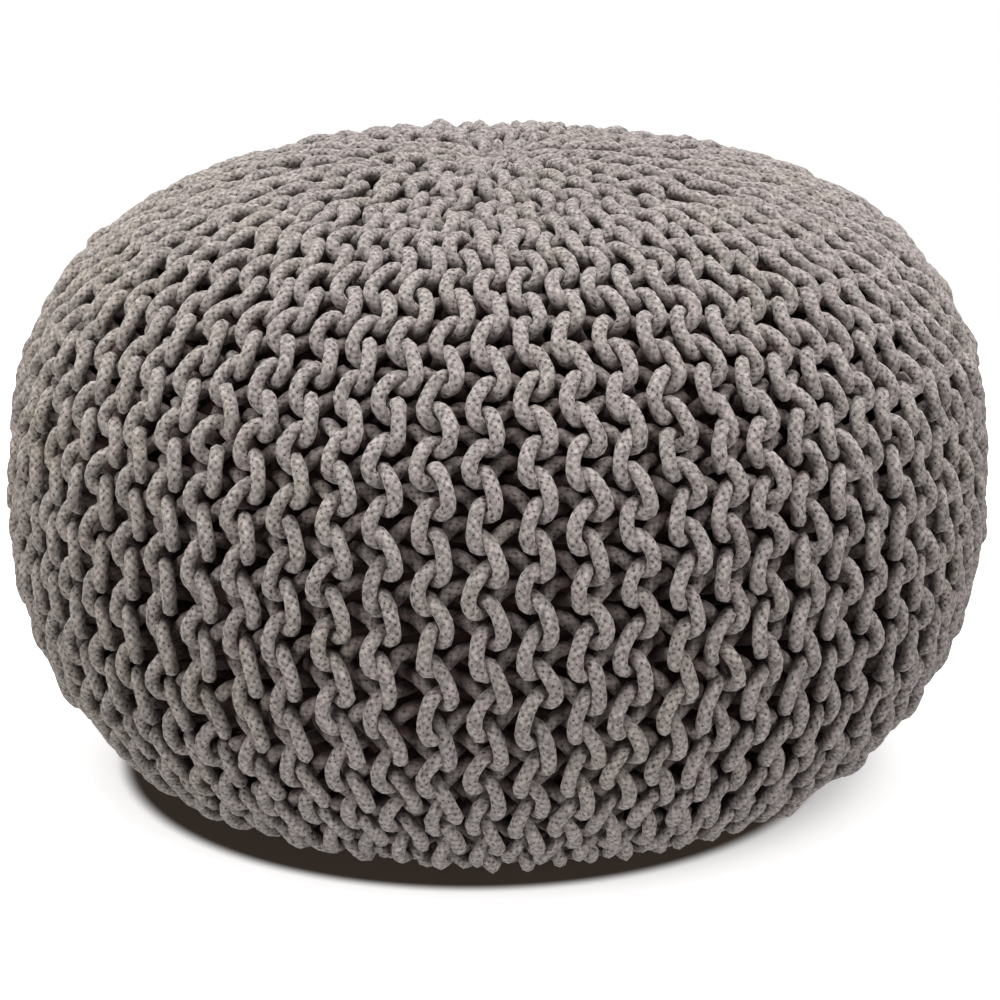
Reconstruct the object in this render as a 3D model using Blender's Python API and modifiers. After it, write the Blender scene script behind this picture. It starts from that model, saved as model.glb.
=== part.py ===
# Knitted pouf: a round floor cushion in a cover of thick cord, knitted sideways, so that its
# ridges run from the gathered middle of the top, over the side and in under the foot.
# Filled and closed it is one soft solid. Metres, +Z up; the origin is the middle of the foot.

import math

import bmesh
import bpy

# Driving dimensions
POUF_RADIUS = 0.275      # over the tips of the ridges, at the widest level
POUF_HEIGHT = 0.346
WAIST_HEIGHT = 0.142     # level of the widest ring
FOOT_RADIUS = 0.194      # edge of the flat face that rests on the floor
CROWN_POWER = 2.88       # superellipse power above the waist: 2 is a plain ellipse
FLANK_POWER = 2.00       # power with which the side leaves the waist
FOOT_POWER = 1.27        # power with which it rolls under to the foot

GATHER_DEPTH = 0.006     # dip where the ends of the ridges are drawn together
GATHER_SPREAD = 0.034    # radius over which the dip fades
EYE_RADIUS = 0.012       # last row of the knitting, closed by the draw cord

RIDGE_COUNT = 68
RIDGE_DEPTH = 0.007      # tip of a ridge to the bottom of the furrow beside it
CROWN_FADE = (0.012, 0.130)   # the ridges grow from nothing to full depth between these radii
FOOT_FADE = (0.000, 0.045)    # and between these heights above the floor

ROW_COUNT = 31           # rings of points from the eye to the edge of the foot
OUTLINE_STEPS = 400      # points on each half of the outline before it is evened out

COVER_COLOUR = (0.36, 0.335, 0.32, 1.0)
COVER_ROUGHNESS = 0.95

OBJECT_NAME = "knitted_pouf"


def clear_scene():
    for thing in list(bpy.data.objects):
        bpy.data.objects.remove(thing, do_unlink=True)


def smooth_step(value, low, high):
    """0 below low, 1 above high, and an S curve between them."""
    share = min(max((value - low) / (high - low), 0.0), 1.0)
    return share * share * (3.0 - 2.0 * share)


def crown_point(turn):
    """Radius and height on the crown: turn is 0 at the waist and a right angle at the axis."""
    radius = POUF_RADIUS * math.cos(turn) ** (2.0 / CROWN_POWER)
    rise = (POUF_HEIGHT - WAIST_HEIGHT) * math.sin(turn) ** (2.0 / CROWN_POWER)
    dip = GATHER_DEPTH * math.exp(-(radius / GATHER_SPREAD) ** 2)
    return radius, WAIST_HEIGHT + rise - dip


def flank_point(turn):
    """Radius and height below the waist: the side rolls in and meets the floor level."""
    overhang = (POUF_RADIUS - FOOT_RADIUS) * math.cos(turn) ** (2.0 / FOOT_POWER)
    drop = WAIST_HEIGHT * math.sin(turn) ** (2.0 / FLANK_POWER)
    return FOOT_RADIUS + overhang, WAIST_HEIGHT - drop


def fine_outline():
    """Closely spaced points of the outline, from the eye down to the edge of the foot."""
    quarter = math.pi / 2.0
    eye_turn = math.acos((EYE_RADIUS / POUF_RADIUS) ** (CROWN_POWER / 2.0))
    points = []
    for step in range(OUTLINE_STEPS):
        points.append(crown_point(eye_turn * (1.0 - step / OUTLINE_STEPS)))
    for step in range(OUTLINE_STEPS):
        points.append(flank_point(quarter * step / OUTLINE_STEPS))
    points.append((FOOT_RADIUS, 0.0))
    return points


def evenly_spaced(points, count):
    """The same line in count points at equal distances along it."""
    travelled = [0.0]
    for first, second in zip(points, points[1:]):
        travelled.append(travelled[-1] + math.dist(first, second))
    even = []
    segment = 0
    for number in range(count):
        wanted = travelled[-1] * number / (count - 1)
        while segment < len(points) - 2 and travelled[segment + 1] < wanted:
            segment += 1
        length = travelled[segment + 1] - travelled[segment]
        share = (wanted - travelled[segment]) / length
        radius = points[segment][0] + share * (points[segment + 1][0] - points[segment][0])
        height = points[segment][1] + share * (points[segment + 1][1] - points[segment][1])
        even.append((radius, height))
    return even


def turned_body(outline):
    """The outline turned about the Z axis, with a point at each ridge and each furrow."""
    eye_height = outline[0][1]
    profile = [(0.0, eye_height)] + outline + [(0.0, 0.0)]
    mesh = bpy.data.meshes.new("outline")
    vertices = [(radius, 0.0, height) for radius, height in profile]
    edges = [(number, number + 1) for number in range(len(vertices) - 1)]
    mesh.from_pydata(vertices, edges, [])
    turned = bpy.data.objects.new("outline", mesh)
    bpy.context.scene.collection.objects.link(turned)

    screw = turned.modifiers.new("Turn", "SCREW")
    screw.axis = "Z"
    screw.steps = RIDGE_COUNT * 2
    screw.render_steps = RIDGE_COUNT * 2
    screw.use_merge_vertices = True
    screw.merge_threshold = 0.0001
    screw.use_smooth_shade = True

    bpy.context.view_layer.update()
    evaluated = turned.evaluated_get(bpy.context.evaluated_depsgraph_get())
    body_mesh = bpy.data.meshes.new_from_object(evaluated)
    bpy.data.objects.remove(turned, do_unlink=True)
    return body_mesh


def press_furrows(body_mesh):
    """Moves each second column of points in, square to the surface, to leave the ridges."""
    shaped = bmesh.new()
    shaped.from_mesh(body_mesh)
    shaped.normal_update()
    furrow_angle = math.pi / RIDGE_COUNT
    moves = []
    for vertex in shaped.verts:
        radius = math.hypot(vertex.co.x, vertex.co.y)
        column = round(math.atan2(vertex.co.y, vertex.co.x) / furrow_angle)
        depth = RIDGE_DEPTH * smooth_step(radius, *CROWN_FADE) * smooth_step(vertex.co.z, *FOOT_FADE)
        if column % 2 == 1 and depth > 0.0:
            moves.append((vertex, vertex.normal * -depth))
    for vertex, move in moves:
        vertex.co += move
    shaped.to_mesh(body_mesh)
    shaped.free()


def cover_material():
    material = bpy.data.materials.new("cotton_cord")
    material.use_nodes = True
    surface = material.node_tree.nodes["Principled BSDF"]
    surface.inputs["Base Color"].default_value = COVER_COLOUR
    surface.inputs["Roughness"].default_value = COVER_ROUGHNESS
    surface.inputs["Metallic"].default_value = 0.0
    return material


def build_pouf():
    clear_scene()
    body_mesh = turned_body(evenly_spaced(fine_outline(), ROW_COUNT))
    press_furrows(body_mesh)
    body_mesh.name = OBJECT_NAME
    body_mesh.shade_smooth()
    body_mesh.materials.append(cover_material())
    pouf = bpy.data.objects.new(OBJECT_NAME, body_mesh)
    collection = bpy.data.collections.new(OBJECT_NAME)
    bpy.context.scene.collection.children.link(collection)
    collection.objects.link(pouf)


build_pouf()
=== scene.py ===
import math

import bpy
import numpy as np
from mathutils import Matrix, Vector


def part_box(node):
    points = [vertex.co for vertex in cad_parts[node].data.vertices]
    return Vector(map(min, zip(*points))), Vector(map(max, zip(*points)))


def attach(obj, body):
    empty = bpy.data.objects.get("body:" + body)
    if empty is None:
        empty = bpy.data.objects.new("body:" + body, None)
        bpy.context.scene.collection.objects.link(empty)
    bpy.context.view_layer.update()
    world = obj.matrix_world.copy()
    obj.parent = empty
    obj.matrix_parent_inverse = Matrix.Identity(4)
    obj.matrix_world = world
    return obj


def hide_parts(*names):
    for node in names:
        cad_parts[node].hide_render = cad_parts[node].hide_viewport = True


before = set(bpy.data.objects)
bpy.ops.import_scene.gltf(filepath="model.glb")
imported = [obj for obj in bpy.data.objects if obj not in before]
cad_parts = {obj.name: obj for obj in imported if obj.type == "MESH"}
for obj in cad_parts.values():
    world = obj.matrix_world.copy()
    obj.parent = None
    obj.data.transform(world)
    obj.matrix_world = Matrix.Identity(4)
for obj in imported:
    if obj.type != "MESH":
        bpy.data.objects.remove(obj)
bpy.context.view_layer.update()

print("frame loaded:", sorted(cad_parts))

boxLow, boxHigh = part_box("knitted_pouf")
poufRadius = (boxHigh[0] - boxLow[0]) / 2
poufHeight = boxHigh[2] - boxLow[2]

# the pouf's outline, in metres: a line turned about the upright axis, which the knit is laid on
outline = {
    "waistHeight": 0.412 * poufHeight,    # level of the widest ring
    "footRadius": 0.707 * poufRadius,     # edge of the flat underside
    "crownPower": 2.88,                   # superellipse power above the waist
    "flankPower": 2.00,                   # how the side leaves the waist
    "footPower": 1.27,                    # how it rolls under to the foot
    "gatherDepth": 0.006,                 # dip where the ridges are drawn together
    "gatherSpread": 0.034,                # how wide the dip is
    "gatherShift": (-0.006, 0.018),       # how far from the axis the ridges meet
    "shiftFades": 0.22,                   # radius at which that shift is over
    "lean": 0.0171,                       # the filling has settled a little to one side
    "leanLevel": 0.6 * poufRadius,        # height that the lean leaves in place
    "smoothedOver": 161,                  # samples that each normal is averaged over
    "leastRadius": 0.012,                 # inside this, cords move round as if they were on it
}


def stepUp(value, low, high):
    # 3 s^2 - 2 s^3 for the share s of the way from low to high
    share = np.clip((value - low) / (high - low), 0, 1)
    return share * share * (3 - 2 * share)


def outlineTable(look, steps=3000):
    # the crown is a superellipse over the waist, the side a softer one that meets the floor level,
    # and the underside a flat disc: radius, height, outward normal and distance along the line
    turn = np.linspace(0, np.pi / 2, steps)
    waist, foot = look["waistHeight"], look["footRadius"]
    crownRadius = poufRadius * np.cos(turn[::-1]) ** (2 / look["crownPower"])
    crownHeight = waist + (poufHeight - waist) * np.sin(turn[::-1]) ** (2 / look["crownPower"])
    flankRadius = foot + (poufRadius - foot) * np.cos(turn) ** (2 / look["footPower"])
    flankHeight = waist * (1 - np.sin(turn) ** (2 / look["flankPower"]))
    underRadius = foot * (1 - np.linspace(0, 1, steps))
    radius = np.concatenate([crownRadius, flankRadius[1:], underRadius[1:]])
    height = np.concatenate([crownHeight, flankHeight[1:], np.zeros(steps - 1)])
    height[:steps] -= look["gatherDepth"] * np.exp(-(crownRadius / look["gatherSpread"]) ** 2)
    along = np.concatenate([[0], np.cumsum(np.hypot(np.diff(radius), np.diff(height)))])
    even = np.linspace(0, along[-1], 2 * steps)
    radius, height = np.interp(even, along, radius), np.interp(even, along, height)
    across, up = np.gradient(radius, even), np.gradient(height, even)
    # the normal is smoothed a little, so that cords don't fold where the line bends
    soft = np.hanning(look["smoothedOver"])
    soft /= soft.sum()
    margin = look["smoothedOver"] // 2
    normals = []
    for line in (-up, across):
        padded = np.concatenate([np.full(margin, line[0]), line, np.full(margin, line[-1])])
        normals.append(np.convolve(padded, soft, "valid"))
    size = np.hypot(normals[0], normals[1])
    return {"along": even, "radius": radius, "height": height,
            "outward": normals[0] / size, "upward": normals[1] / size, "total": even[-1]}


table = outlineTable(outline)


def onOutline(along, name):
    # the table's value at a distance along the outline, on a straight line between two samples
    return np.interp(along, table["along"], table[name])


def placeOnPouf(along, angle, sideways, depth):
    # a point at a distance along the outline, at an angle round it, moved sideways and pushed in:
    # x = r sin(a), y = -r cos(a), with the gather's shift and the lean added
    radius = onOutline(along, "radius") - depth * onOutline(along, "outward")
    height = onOutline(along, "height") - depth * onOutline(along, "upward")
    turn = angle + sideways / np.maximum(onOutline(along, "radius"), outline["leastRadius"])
    place = np.stack([radius * np.sin(turn), -radius * np.cos(turn), height], -1)
    near = 1 - stepUp(onOutline(along, "radius"), 0.0, outline["shiftFades"])
    near = near * (onOutline(along, "height") > outline["waistHeight"])
    leant = outline["lean"] * (place[..., 2] - outline["leanLevel"])
    place[..., 0] += outline["gatherShift"][0] * near + leant
    place[..., 1] += outline["gatherShift"][1] * near
    return place


# the knit, in metres, with angles in radians: "along" runs down the outline from the top's middle
knit = {
    "ridges": 68,
    "stitch": 0.0320,          # one loop to the next, along a ridge
    "firstRow": 0.0140,        # where the rows are counted from
    "crownStretch": 0.10,      # stitches are this much longer on the crown
    "footStretch": 0.18,       # and towards the foot
    "stretchEnds": (0.20, 0.30, 0.36, 0.46),    # one fades and is gone, the other starts and is full
    "trueRow": 0.240,          # where the stretched rows and the even ones meet
    "cordRadius": 0.0038,
    # one loop of the left-hand course, in millimetres: the points that steer the cord, each
    # sideways from the ridge, down along it and outward; the next loop starts one stitch down
    "loop": ((-7.0, -0.8, 0.5), (-5.8, 9.6, 0.0), (0.4, 11.6, -8.2), (5.0, 4.0, -8.4),
             (10.5, -1.0, -9.0), (19.5, 0.0, -18.5), (25.5, 4.5, -26.5), (25.0, 15.5, -31.5),
             (18.0, 24.0, -28.5), (9.5, 25.5, -20.5), (4.5, 21.5, -9.4), (-1.3, 18.8, -2.0)),
    # and how far its points go sideways for the other course, whose loops slant more, before mirroring
    "rightShift": (1.0, -1.1, -0.7, 0, 0, 0, 0, 0, 0, 0, 0, 0.5),
    "loopRidge": 0.0248,       # the ridge spacing that the loop is drawn for
    "frontWidth": 1.12,        # the front of a loop against the drawn one
    "frontLevels": (-0.016, -0.006),    # outward places where the front starts and is full
    "crowding": 0.36,          # how far loops narrow where ridges come together: 1 would be in step
    "gapLimits": (0.2, 1.3),   # least and most of the drawn spacing that the narrowing goes by
    "endNarrowing": 0.3,       # how much narrower the last loops of a ridge are
    "leastRadius": 0.004,      # inside this, ridges come no closer together
    "endRadii": (0.005, 0.026, 0.056, 0.104),   # where ridges of each rank stop
    "sinkRadii": (0.010, 0.044, 0.092, 0.165),  # and where they start to sink between the others
    "sink": 0.006,             # how deep they go
    "tuck": 0.005,             # how far the ends of a course dive in
    "tuckRun": 0.012,          # over what length
    "handWobble": 0.0007,      # unevenness of the hand knitting, point by point
    "rowWobble": 0.00098,      # and loop by loop
    "ridgeShift": (-0.85, 0.6, -0.135),         # ridge places: all, cosine and sine of their angle
    "wander": 0.0016,          # how far the ridges wander together
    "waves": ((2, 5, 17), (1, 13, -41)),        # their size, times round and turn for each metre down
    "wanderEnds": (0.05, 0.20),                 # no wandering inside the first reach, all past the second
    "openReach": (0.02, 0.13),                  # the crown is open to the light, so its painted shade is less
    "openPaintedShade": 0.45,         # the share of its depth that a cord's painted shade goes by at the middle
    "ringSides": 8,
    "ringsPerLoop": 22,
    "ringRun": 0.010,          # rings are spread by run over this length
    "ringBend": 1.3,           # plus this for a bend of one radian
    "hiddenRings": 0.45,       # share of the rings that a stretch out of sight gets
    "hiddenLevels": (-0.024, -0.004),           # outward places where the cord is hidden and in sight
    "lumpy": 0.055,            # unevenness of the cord's thickness
    "groupOf": 4,              # ridges that stay together in one mesh
    "sectors": 6,              # how many meshes there are round the pouf
    "seed": 7,
}
ridgeStep = 2 * np.pi / knit["ridges"]
loopPoints = np.array(knit["loop"]) / 1000
loopCount = len(loopPoints)


def ridgeRank(ridge):
    # about an eighth of the ridges reach the middle, and the rest stop short of it by rank:
    # odd ones first, then every other even one, then every other one of those that are left
    ridge = ridge % knit["ridges"]
    if ridge % 2:
        return 3
    if ridge % 4:
        return 2
    return 1 if (ridge // 4) % 2 else 0


def neighbourSteps(ridge, side, rank):
    # ridges to the next one on that side that reaches as far in as this rank
    steps = 1
    while ridgeRank(ridge + side * steps) > rank:
        steps += 1
    return steps


def goneShare(reach, rank):
    # 0 where ridges of this rank are at full height, 1 where they have stopped
    return 1 - stepUp(reach, knit["endRadii"][rank], knit["sinkRadii"][rank])


def ridgeWarp(angle):
    # ridges aren't evenly spaced, as hand knitting is tighter on one side:
    # ridge step * (c0 + c1 cos(angle) + c2 sin(angle))
    shift = knit["ridgeShift"]
    return ridgeStep * (shift[0] + shift[1] * np.cos(angle) + shift[2] * np.sin(angle))


def steeredCurve(points, places):
    # uniform cubic spline: at each place, the four nearest steering points are blended with
    # weights (1-f)^3, 3f^3-6f^2+4, -3f^3+3f^2+3f+1 and f^3, all over 6
    whole = np.floor(places).astype(int)
    f = places - whole
    weights = np.stack([(1 - f) ** 3,
                        3 * f ** 3 - 6 * f ** 2 + 4,
                        -3 * f ** 3 + 3 * f ** 2 + 3 * f + 1,
                        f ** 3]) / 6
    picked = np.clip(whole[None, :] + np.arange(-1, 3)[:, None], 0, len(points) - 1)
    return np.einsum("kn,knc->nc", weights, points[picked])


def loopSamples():
    # where one loop gets its rings: even steps of the summed weight, which is run over ringRun plus
    # ringBend times the bend, and less where the cord is out of sight
    places = np.linspace(0, loopCount, 1201)
    row = np.array([0, knit["stitch"], 0])
    points = np.concatenate([loopPoints - row, loopPoints, loopPoints + row])
    path = steeredCurve(points, places + loopCount)
    step = np.gradient(path, places, axis=0)
    speed = np.linalg.norm(step, axis=1)
    heading = step / speed[:, None]
    bend = np.linalg.norm(np.gradient(heading, places, axis=0), axis=1)
    inSight = stepUp(path[:, 2], *knit["hiddenLevels"])
    weight = speed / knit["ringRun"] + knit["ringBend"] * bend
    weight *= knit["hiddenRings"] + (1 - knit["hiddenRings"]) * inSight
    total = np.concatenate([[0], np.cumsum((weight[1:] + weight[:-1]) / 2)])
    wanted = np.linspace(0, total[-1], knit["ringsPerLoop"] + 1)[:-1]
    return np.interp(wanted, total, places)


def rowTable():
    # the run along the outline counted in even stitches: the sum of each step over its stretch
    along = table["along"]
    ends = knit["stretchEnds"]
    stretch = 1 + knit["crownStretch"] * (1 - stepUp(along, ends[0], ends[1]))
    stretch += knit["footStretch"] * stepUp(along, ends[2], ends[3])
    run = np.concatenate([[0], np.cumsum(np.diff(along) / stretch[1:])])
    return run + knit["trueRow"] - np.interp(knit["trueRow"], along, run)


loopPlaces = loopSamples()
evenRun = rowTable()


def flatCourse(side, rank, random):
    # the loop's steering points repeated one stitch apart, mirrored for the right-hand course and
    # each moved a little, then the smooth curve that they steer, cut where the ridge stops:
    # sideways from the ridge, distance along the outline and outward
    end = knit["endRadii"][rank]
    stitch = knit["stitch"]
    start = knit["firstRow"] + (0 if side > 0 else stitch / 2)
    reachEnds = np.interp([end, table["total"] - end], table["along"], evenRun)
    first = math.floor((reachEnds[0] - start) / stitch) - 1
    last = math.ceil((reachEnds[1] - start) / stitch)
    rows = np.arange(first, last + 1)
    points = np.repeat(loopPoints[None], len(rows), 0)
    points += random.normal(0, knit["handWobble"], points.shape)
    points += random.normal(0, knit["rowWobble"], (len(rows), 1, 3))
    if side < 0:
        points[:, :, 0] += np.array(knit["rightShift"]) / 1000
    front = stepUp(points[:, :, 2], *knit["frontLevels"])
    points[:, :, 0] *= side * (1 + (knit["frontWidth"] - 1) * front)
    points[:, :, 1] += (start + stitch * rows)[:, None]
    points = points.reshape(-1, 3)
    places = (loopPlaces[None, :] + loopCount * np.arange(len(rows))[:, None]).ravel()
    places = places[(places >= 1) & (places <= len(points) - 2)]
    flat = steeredCurve(points, places)
    flat[:, 1] = np.interp(flat[:, 1], evenRun, table["along"])
    tooEarly = flat[:, 1] < end
    tooLate = flat[:, 1] > table["total"] - end
    begin = np.flatnonzero(tooEarly)[-1] + 1 if tooEarly.any() else 0
    finish = np.flatnonzero(tooLate)[0] if tooLate.any() else len(flat)
    return flat[begin:finish]


def loopNarrowing(ridge, side, rank, along, reach):
    # the share of its drawn width that a loop has: (gap to the next ridge / drawn gap) ^ crowding,
    # and less again where its own ridge runs out
    radius = np.maximum(onOutline(along, "radius"), knit["leastRadius"])
    gap = np.full(len(along), float(neighbourSteps(ridge, side, 3)))
    for inner in range(rank, 3):
        added = neighbourSteps(ridge, side, inner) - neighbourSteps(ridge, side, inner + 1)
        gap += added * goneShare(reach, inner + 1)
    share = np.clip(gap * ridgeStep * radius / knit["loopRidge"], *knit["gapLimits"])
    return share ** knit["crowding"] * (1 - knit["endNarrowing"] * goneShare(reach, rank))


def coursePath(ridge, side, random):
    # one course laid on the pouf: depth = cord radius - outward place, plus the sinking and tucking
    # of its ends; sideways = drawn width * narrowing + the sum of size * sin(round a + turn s)
    rank = ridgeRank(ridge)
    end = knit["endRadii"][rank]
    flat = flatCourse(side, rank, random)
    along = flat[:, 1]
    reach = np.minimum(along, table["total"] - along)
    sideways = flat[:, 0] * loopNarrowing(ridge, side, rank, along, reach)
    depth = knit["cordRadius"] - flat[:, 2]
    depth += knit["sink"] * goneShare(reach, rank) * (rank > 0)
    depth += knit["tuck"] * (1 - stepUp(reach, end, end + knit["tuckRun"]))

    angle = ridge * ridgeStep
    angle = angle + ridgeWarp(angle)
    wave = sum(size * np.sin(times * angle + turn * along) for size, times, turn in knit["waves"])
    sideways = sideways + knit["wander"] * wave * stepUp(reach, *knit["wanderEnds"]) / 2
    free = placeOnPouf(along, angle, sideways, depth)
    outward = placeOnPouf(along, angle, sideways, depth - 0.001) - free    # towards one 1 mm further out
    outward /= np.linalg.norm(outward, axis=1)[:, None]
    path = free.copy()
    path[:, 2] = np.maximum(path[:, 2], knit["cordRadius"])    # the floor stops the cord
    # painted shade: the depth returned here darkens the cord's colour, less on the open crown
    shaded = knit["openPaintedShade"] + (1 - knit["openPaintedShade"]) * stepUp(reach, *knit["openReach"])
    return path, outward, depth * shaded


def cordTube(path, outward, depth, radius, sides, lumps):
    # circles square to the path, joined to a tube and closed at both ends: corner = path +
    # radius * (cos(t) lifted + sin(t) across); U runs once round the cord and V along it in metres
    ahead = np.gradient(path, axis=0)
    ahead /= np.linalg.norm(ahead, axis=1)[:, None]
    across = np.cross(ahead, outward)
    across /= np.linalg.norm(across, axis=1)[:, None]
    lifted = np.cross(across, ahead)
    turn = 2 * np.pi * np.arange(sides) / sides
    ring = (np.cos(turn)[None, :, None] * lifted[:, None, :]
            + np.sin(turn)[None, :, None] * across[:, None, :])
    thick = radius * (1 + lumps.normal(0, knit["lumpy"], (len(path), sides, 1)))
    corners = (path[:, None, :] + thick * ring).reshape(-1, 3)
    corners[:, 2] = np.maximum(corners[:, 2], 0)
    # how deep each corner lies, for the painted shade, so that the cord's sides and back are darker
    paintedShadeDepth = (depth[:, None] - radius * (ring * outward[:, None, :]).sum(-1)).ravel()
    rings = len(path)
    row = np.arange(rings - 1)[:, None] * sides
    side = np.arange(sides)[None, :]
    nextSide = (side + 1) % sides
    quads = np.stack([row + side, row + nextSide, row + sides + nextSide, row + sides + side], -1)
    quads = quads.reshape(-1, 4)
    travelled = np.concatenate([[0], np.cumsum(np.linalg.norm(np.diff(path, axis=0), axis=1))])
    u = np.stack([side / sides, (side + 1) / sides, (side + 1) / sides, side / sides], -1)
    u = np.broadcast_to(u, (rings - 1, sides, 4))
    v = np.stack([travelled[:-1], travelled[:-1], travelled[1:], travelled[1:]], -1)
    v = np.broadcast_to(v[:, None, :], (rings - 1, sides, 4))
    uv = np.stack([u, v], -1).reshape(-1, 2)
    caps = [list(range(sides))[::-1], list(range((rings - 1) * sides, rings * sides))]
    return corners, quads, uv, caps, paintedShadeDepth, travelled[-1]


def addMesh(name, corners, quads, uv, caps=(), paintedShadeDepth=None):
    # the faces are the quads, in order, and then the caps, which have no place on the UV map
    faces = quads.tolist() + [list(cap) for cap in caps]
    mesh = bpy.data.meshes.new(name)
    mesh.from_pydata(corners.tolist(), [], faces)
    layer = mesh.uv_layers.new(name="cordMap")
    flat = np.zeros((len(mesh.loops), 2))
    flat[:len(uv)] = uv
    layer.data.foreach_set("uv", flat.ravel())
    # the depth that the painted shade on the cord's colour goes by
    if paintedShadeDepth is not None:
        layer = mesh.attributes.new("paintedShadeDepth", "FLOAT", "POINT")
        layer.data.foreach_set("value", paintedShadeDepth)
    mesh.shade_smooth()
    thing = bpy.data.objects.new(name, mesh)
    bpy.context.scene.collection.objects.link(thing)
    return thing


def knitSector(name, ridges, random, lumps):
    # the tubes of both courses of each ridge in one mesh, and the sum of their lengths
    parts, base, length = [], 0, 0.0
    for ridge in ridges:
        for side in (-1, 1):
            path, outward, depth = coursePath(ridge, side, random)
            corners, quads, uv, caps, paintedShadeDepth, run = cordTube(
                path, outward, depth, knit["cordRadius"], knit["ringSides"], lumps)
            caps = [[corner + base for corner in cap] for cap in caps]
            parts.append((corners, quads + base, uv, caps, paintedShadeDepth))
            base += len(corners)
            length += run
    corners = np.concatenate([part[0] for part in parts])
    quads = np.concatenate([part[1] for part in parts])
    uv = np.concatenate([part[2] for part in parts])
    caps = [cap for part in parts for cap in part[3]]
    paintedShadeDepth = np.concatenate([part[4] for part in parts])
    return addMesh(name, corners, quads, uv, caps, paintedShadeDepth), length


# the cord's looks: colours are linear, and grains are noise scales, in specks to the metre
cord = {
    "colour": (0.267, 0.2340, 0.2225),
    "khaki": (0.268, 0.236, 0.200),    # the yarn is dyed a little unevenly
    "khakiSide": (-0.10, -0.24),       # along X, where the khaki side starts and is full
    "khakiSideShare": 0.5,
    "dyeGrain": 22.0,                  # of the khaki patches
    "dyeLevels": (0.5, 0.75),          # noise levels where a patch starts and is full
    "dyeShare": 0.7,
    "mottleGrain": 390.0,
    "mottle": (0.44, 1.37),            # the darkest and lightest specks
    "strandsRound": 5,                 # strands of each hand round the cord
    "braidLength": 0.0040,             # one pin hole to the next along the cord
    "braidWander": 0.0007,             # how far the braid strays from its lattice
    "wanderGrain": 260.0,
    "strandGrooveShade": (0.78, 1.06),       # painted shade in the grooves between strands: the edge and the middle of a strand
    "strandTop": 0.6,                  # height that counts as its middle
    # painted shade in the pin holes where the strands cross: its colour
    "pinHoleShadeColour": (0.034, 0.021, 0.017),
    "pinEdge": (0.22, 0.68),           # how near a crossing the hole is full and gone
    "pinGrain": 330.0,                 # noise that closes some of the holes
    "pinLevels": (0.36, 0.56),
    "pinLeast": 0.1,                   # what is left of a closed one
    # how far the painted shade in a pin hole goes to that colour
    "pinHoleShadeDarkness": 0.95,
    "fibreGrain": 1500.0,
    "bumpDepth": 0.0005,
    "bumpStrength": 0.8,
    "relief": {"strand": 0.35, "fibre": 0.7, "mottle": 0.8, "pin": 0.9},
    "paintedShadeFrom": 0.0035,               # painted shade: the cord is darker between the ridges and on its sides; how deep that starts
    "paintedShadeTo": 0.0180,
    "paintedShadeColour": (0.0400, 0.0165, 0.0118),    # and the painted shade's colour at the bottom
    "roughness": 0.95,
    "specular": 0.15,
    "sheen": 0.12,
    "sheenRoughness": 0.7,
}
noiseLow, noiseHigh = 0.3, 0.7    # most of a noise lies between these


def node(tree, kind, inputs=(), **settings):
    # a new node with its settings, and values or links for its inputs
    made = tree.nodes.new(kind)
    for key, value in settings.items():
        setattr(made, key, value)
    for key, value in dict(inputs).items():
        if isinstance(value, bpy.types.NodeSocket):
            tree.links.new(value, made.inputs[key])
        else:
            made.inputs[key].default_value = value
    return made


def reckon(tree, operation, first, second=0.0):
    # first and second put together by a sum, a product or another step of arithmetic
    return node(tree, "ShaderNodeMath", {0: first, 1: second}, operation=operation).outputs[0]


def mapped(tree, value, fromSpan, toSpan=(0.0, 1.0), **settings):
    # from a value's place between two levels to the same place between two others
    return node(tree, "ShaderNodeMapRange", {
        "Value": value, "From Min": fromSpan[0], "From Max": fromSpan[1],
        "To Min": toSpan[0], "To Max": toSpan[1]}, **settings).outputs["Result"]


def speckle(tree, place, scale, detail=2.0):
    # noise with this many specks to the metre
    return node(tree, "ShaderNodeTexNoise",
                {"Vector": place, "Scale": scale, "Detail": detail}).outputs["Fac"]


def mixed(tree, share, first, second):
    # (1 - share) * first + share * second
    return node(tree, "ShaderNodeMix", {"Factor": share, "A": first, "B": second},
                data_type="RGBA").outputs["Result"]


def braid(tree, look, place):
    # two sets of strands wind round the cord in opposite hands, with a pin hole where they cross:
    # left = |sin(pi (n u + v / L))|, right = |sin(pi (n u - v / L))|, height = left * right
    onCord = node(tree, "ShaderNodeUVMap", uv_map="cordMap").outputs["UV"]
    split = node(tree, "ShaderNodeSeparateXYZ", {0: onCord})
    stray = look["braidWander"] / look["braidLength"]
    wander = mapped(tree, speckle(tree, place, look["wanderGrain"]), (noiseLow, noiseHigh), (-stray, stray))
    around = reckon(tree, "MULTIPLY", split.outputs["X"], float(look["strandsRound"]))
    run = reckon(tree, "DIVIDE", split.outputs["Y"], look["braidLength"])
    run = reckon(tree, "ADD", run, wander)
    hands = []
    for operation in ("ADD", "SUBTRACT"):
        turn = reckon(tree, "MULTIPLY", reckon(tree, operation, around, run), math.pi)
        hands.append(reckon(tree, "ABSOLUTE", reckon(tree, "SINE", turn)))
    height = reckon(tree, "MULTIPLY", hands[0], hands[1])
    crossing = mapped(tree, reckon(tree, "MAXIMUM", hands[0], hands[1]), look["pinEdge"], (1.0, 0.0))
    some = mapped(tree, speckle(tree, place, look["pinGrain"], 0.0),
                  look["pinLevels"], (look["pinLeast"], 1.0))
    return height, reckon(tree, "MULTIPLY", crossing, some)


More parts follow.
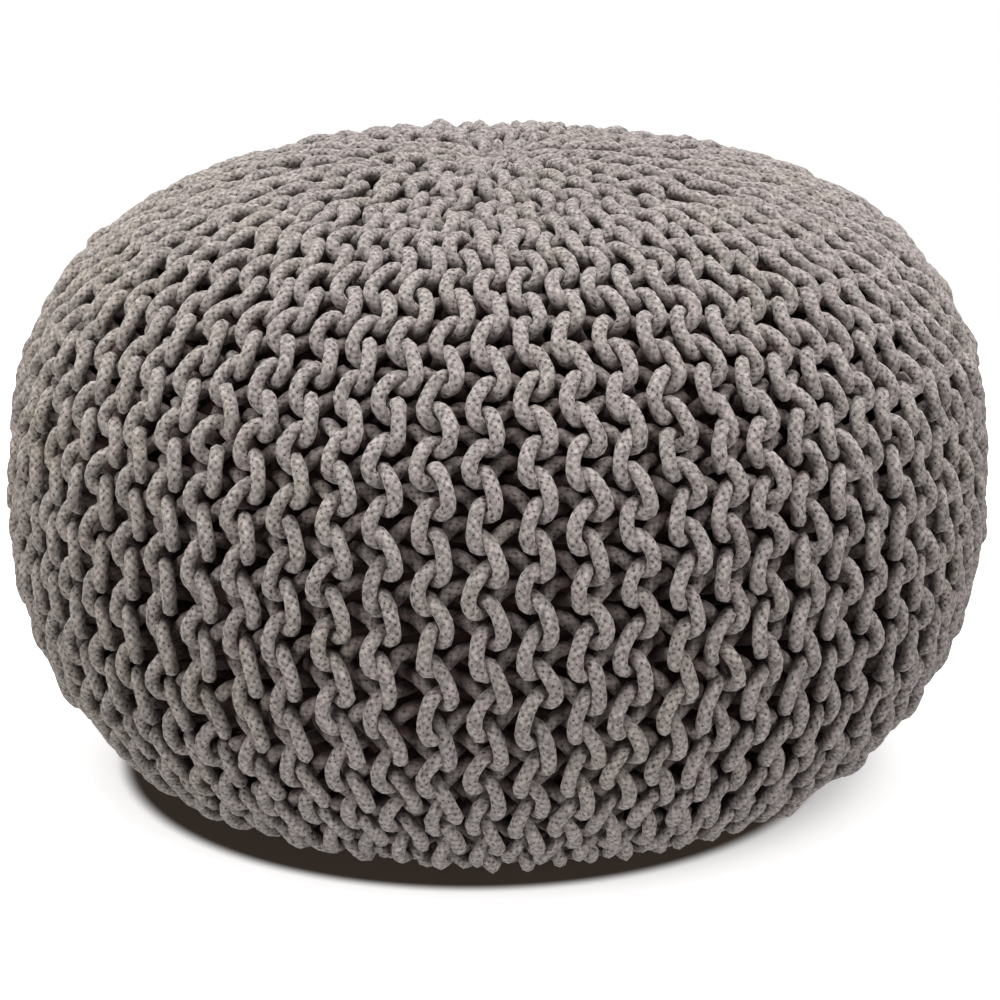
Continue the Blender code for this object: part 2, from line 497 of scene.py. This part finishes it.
def cordColour(tree, look, place, strand, pin, mottle):
    # yarn and khaki mixed, with painted shade in the pin holes, times the mottle and a painted shade at the
    # strands' edges, then mixed to a dark painted-shade colour by how deep the cord lies
    faded = mapped(tree, node(tree, "ShaderNodeSeparateXYZ", {0: place}).outputs["X"],
                   look["khakiSide"], (0.0, look["khakiSideShare"]))
    patches = mapped(tree, speckle(tree, place, look["dyeGrain"]),
                     look["dyeLevels"], (0.0, look["dyeShare"]))
    yarn = mixed(tree, reckon(tree, "ADD", faded, patches), (*look["colour"], 1), (*look["khaki"], 1))
    # painted shade in the pin holes
    pinHoleShade = reckon(tree, "MULTIPLY", pin, look["pinHoleShadeDarkness"])
    yarn = mixed(tree, pinHoleShade, yarn, (*look["pinHoleShadeColour"], 1))
    # the mottle's random tone times the painted shade at the strands' edges
    mottleAndGrooveShade = reckon(tree, "MULTIPLY", mapped(tree, mottle, (noiseLow, noiseHigh), look["mottle"]),
                   mapped(tree, strand, (0.0, look["strandTop"]), look["strandGrooveShade"]))
    shaded = node(tree, "ShaderNodeVectorMath", {0: yarn, 1: mottleAndGrooveShade}, operation="MULTIPLY")
    # painted shade: darker and redder the deeper the cord lies
    shadeDepth = node(tree, "ShaderNodeAttribute", attribute_name="paintedShadeDepth").outputs["Fac"]
    paintedShade = mapped(tree, shadeDepth, (look["paintedShadeFrom"], look["paintedShadeTo"]), interpolation_type="SMOOTHSTEP")
    return mixed(tree, paintedShade, shaded.outputs["Vector"], (*look["paintedShadeColour"], 1))


def cordRelief(tree, look, place, strand, pin, mottle):
    # the strands, fibres and mottle stand up and the pin holes are sunk, each times its share
    share = look["relief"]
    fibres = speckle(tree, place, look["fibreGrain"])
    height = reckon(tree, "ADD", reckon(tree, "MULTIPLY", strand, share["strand"]),
                    reckon(tree, "MULTIPLY", fibres, share["fibre"]))
    height = reckon(tree, "ADD", height, reckon(tree, "MULTIPLY", mottle, share["mottle"]))
    height = reckon(tree, "SUBTRACT", height, reckon(tree, "MULTIPLY", pin, share["pin"]))
    return node(tree, "ShaderNodeBump", {
        "Height": height, "Distance": look["bumpDepth"], "Strength": look["bumpStrength"]}).outputs["Normal"]


def cordMaterial(look):
    # dull braided cotton: colour and relief from the braid, the mottle and the depth, with shade painted in
    # by depth
    material = bpy.data.materials.new("braidedCotton")
    material.use_nodes = True
    tree = material.node_tree
    place = node(tree, "ShaderNodeTexCoord").outputs["Object"]
    strand, pin = braid(tree, look, place)
    mottle = speckle(tree, place, look["mottleGrain"])
    inputs = tree.nodes["Principled BSDF"].inputs
    tree.links.new(cordColour(tree, look, place, strand, pin, mottle), inputs["Base Color"])
    tree.links.new(cordRelief(tree, look, place, strand, pin, mottle), inputs["Normal"])
    inputs["Roughness"].default_value = look["roughness"]
    inputs["Specular IOR Level"].default_value = look["specular"]
    inputs["Sheen Weight"].default_value = look["sheen"]
    inputs["Sheen Roughness"].default_value = look["sheenRoughness"]
    return material


random = np.random.default_rng(knit["seed"])
lumps = np.random.default_rng(knit["seed"] + 1)    # its own draws, so that lumps don't change the loops
cotton = cordMaterial(cord)
totalCord = 0.0
triangles = 0
groups = np.arange(knit["ridges"]).reshape(-1, knit["groupOf"])
for number, sector in enumerate(np.array_split(groups, knit["sectors"])):
    piece, length = knitSector("knitSector_" + str(number + 1), sector.ravel().tolist(), random, lumps)
    piece.data.materials.append(cotton)
    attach(piece, "root")
    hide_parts("knitted_pouf")
    piece.data.calc_loop_triangles()
    count = len(piece.data.loop_triangles)
    triangles += count
    totalCord += length
    print(piece.name, "triangles", count)
print("cord metres", round(totalCord, 1), "triangles", triangles)


# a dark sheet behind the loops, which shows in the gaps of the knit
darkBacking = {
    "inset": 0.030,            # how far it lies behind the outline
    "endGap": 0.02,            # distance along the outline that its flat ends close
    "sides": 96,
    "rows": 60,
    "colour": (0.0300, 0.0125, 0.0090, 1),
    "roughness": 1.0,
}


def innerSurface(look):
    # the outline pushed in behind the loops and turned round, closed at both middles
    count, steps = look["sides"], look["rows"]
    along = np.linspace(look["endGap"], table["total"] - look["endGap"], steps)
    angle = 2 * np.pi * np.arange(count) / count
    grid = placeOnPouf(np.repeat(along[:, None], count, 1), angle[None, :], 0.0, look["inset"])
    corners = grid.reshape(-1, 3)
    row = np.arange(steps - 1)[:, None] * count
    side = np.arange(count)[None, :]
    nextSide = (side + 1) % count
    quads = np.stack([row + side, row + count + side, row + count + nextSide, row + nextSide], -1)
    quads = quads.reshape(-1, 4)
    caps = [list(range(count)), list(range((steps - 1) * count, steps * count))[::-1]]
    return addMesh("innerSide", corners, quads, np.zeros((len(quads) * 4, 2)), caps)


def innerMaterial(look):
    # one dull dark colour
    material = bpy.data.materials.new("innerSide")
    material.use_nodes = True
    inputs = material.node_tree.nodes["Principled BSDF"].inputs
    inputs["Base Color"].default_value = look["colour"]
    inputs["Roughness"].default_value = look["roughness"]
    return material


inner = innerSurface(darkBacking)
inner.data.materials.append(innerMaterial(darkBacking))
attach(inner, "root")
print("inner side done")


# the floor, the world and the lamps
studio = {
    "floorColour": (0.92, 0.92, 0.92, 1),
    "floorRadius": 1.15,
    "floorSides": 96,
    "floorGlow": 0.82,
    "floorRoughness": 0.8,
    "paintedShadowCentre": (-0.015, -0.021, 0.0),     # a painted shadow, for the one that the foot and its overhang leave
    "paintedShadowEdge": (0.193, 0.205),
    "softShadowEdge": (0.185, 0.235),                 # and a lighter painted shadow that shows all round
    "softShadowDepth": 0.45,
    # the painted shadow's colour, used for both the floor's colour and its glow
    "paintedShadowColour": (0.030, 0.023, 0.018, 1),
    "fillColour": (1.0, 0.955, 0.935, 1),       # the world as light
    "fillStrength": 0.28,
    "backdropColour": (1, 1, 1, 1),             # and as it is seen
    "backdropStrength": 1.0,
    "aim": (0, 0, 0.15),                        # the point that every lamp faces
    "lamps": {
        "overhead": {"place": (-0.05, -0.22, 3.2), "size": 2.4, "power": 176.0},
        "frontLeft": {"place": (-2.15, -1.85, -0.1), "size": 1.6, "power": 57.0},
        "frontRight": {"place": (2.3, -1.75, -0.1), "size": 1.6, "power": 57.0},
        "back": {"place": (0.2, 2.8, 0.7), "size": 2.2, "power": 55.0},
    },
}


def areaLight(name, place, target, size, power):
    # a round lamp turned so that it looks along the line from its place to the target
    light = bpy.data.lights.new(name, "AREA")
    light.shape = "DISK"
    light.size = size
    light.energy = power
    lamp = bpy.data.objects.new(name, light)
    bpy.context.scene.collection.objects.link(lamp)
    lamp.location = place
    lamp.rotation_euler = (Vector(target) - Vector(place)).to_track_quat("-Z", "Y").to_euler()


def floorMaterial(look):
    # pale and glowing, with a painted shadow under the overhang: the unshadowed share is 0 inside the
    # painted shadow's circle and 1 outside, times a wider circle's share that starts at the soft shadow's
    # depth, both with smooth edges
    material = bpy.data.materials.new("paleFloor")
    material.use_nodes = True
    tree = material.node_tree
    place = node(tree, "ShaderNodeTexCoord").outputs["Object"]
    away = node(tree, "ShaderNodeVectorMath", {0: place, 1: look["paintedShadowCentre"]}, operation="DISTANCE")
    middle = node(tree, "ShaderNodeVectorMath", {0: place}, operation="LENGTH")
    # painted shadow: 0 inside the circle under the foot, 1 outside
    paintedShadow = mapped(tree, away.outputs["Value"], look["paintedShadowEdge"], interpolation_type="SMOOTHSTEP")
    soft = mapped(tree, middle.outputs["Value"], look["softShadowEdge"], (look["softShadowDepth"], 1.0),
                  interpolation_type="SMOOTHSTEP")
    unshadowed = reckon(tree, "MULTIPLY", paintedShadow, soft)
    colour = mixed(tree, unshadowed, look["paintedShadowColour"], look["floorColour"])
    inputs = tree.nodes["Principled BSDF"].inputs
    tree.links.new(colour, inputs["Base Color"])
    tree.links.new(colour, inputs["Emission Color"])
    inputs["Roughness"].default_value = look["floorRoughness"]
    inputs["Specular IOR Level"].default_value = 0.0
    inputs["Emission Strength"].default_value = look["floorGlow"]
    return material


def addFloor(look):
    # a flat disc under the pouf
    mesh = bpy.data.meshes.new("floor")
    turn = 2 * np.pi * np.arange(look["floorSides"]) / look["floorSides"]
    rim = look["floorRadius"] * np.stack([np.cos(turn), np.sin(turn), 0 * turn], -1)
    mesh.from_pydata(rim.tolist(), [], [list(range(len(rim)))])
    mesh.materials.append(floorMaterial(look))
    floor = bpy.data.objects.new("floor", mesh)
    bpy.context.scene.collection.objects.link(floor)
    floor.visible_diffuse = False      # the floor is lit for its looks and doesn't light the object
    floor.visible_shadow = False       # low lights stand in for what a pale floor throws back


def addWorld(look):
    # white behind the object, and dimmer and a little warmer as light
    world = bpy.data.worlds.new("studio")
    bpy.context.scene.world = world
    world.use_nodes = True
    tree = world.node_tree
    seen = node(tree, "ShaderNodeLightPath").outputs["Is Camera Ray"]
    strength = mapped(tree, seen, (0.0, 1.0), (look["fillStrength"], look["backdropStrength"]))
    tint = mixed(tree, seen, look["fillColour"], look["backdropColour"])
    tree.links.new(tint, tree.nodes["Background"].inputs["Color"])
    tree.links.new(strength, tree.nodes["Background"].inputs["Strength"])


addFloor(studio)
addWorld(studio)
for name, lamp in studio["lamps"].items():
    areaLight(name, lamp["place"], studio["aim"], lamp["size"], lamp["power"])
print("floor, world and lamps done")

viewpoint = {
    "distance": 6 * poufRadius,
    "elevation": math.radians(15.87),
    "lens": 104.58,            # millimetres, on a sensor 36 wide
    "sensor": 36,
    "aimHeight": 0.165,
    "aimDown": 0.013391,       # slopes by which it looks past that height, down and to the right
    "aimAcross": 0.000585,
}


def addCamera(look):
    # straight in front, raised by the elevation, and turned by the angles whose slopes are given
    data = bpy.data.cameras.new("camera")
    data.lens = look["lens"]
    data.sensor_width = look["sensor"]
    camera = bpy.data.objects.new("camera", data)
    bpy.context.scene.collection.objects.link(camera)
    back = Vector((0, -math.cos(look["elevation"]), math.sin(look["elevation"])))
    camera.location = Vector((0, 0, look["aimHeight"])) + look["distance"] * back
    tilt = math.pi / 2 - look["elevation"] - math.atan(look["aimDown"])
    camera.rotation_euler = (tilt, 0, -math.atan(look["aimAcross"]))
    bpy.context.scene.camera = camera


addCamera(viewpoint)
bpy.context.scene.view_settings.view_transform = "Standard"
print("camera done")
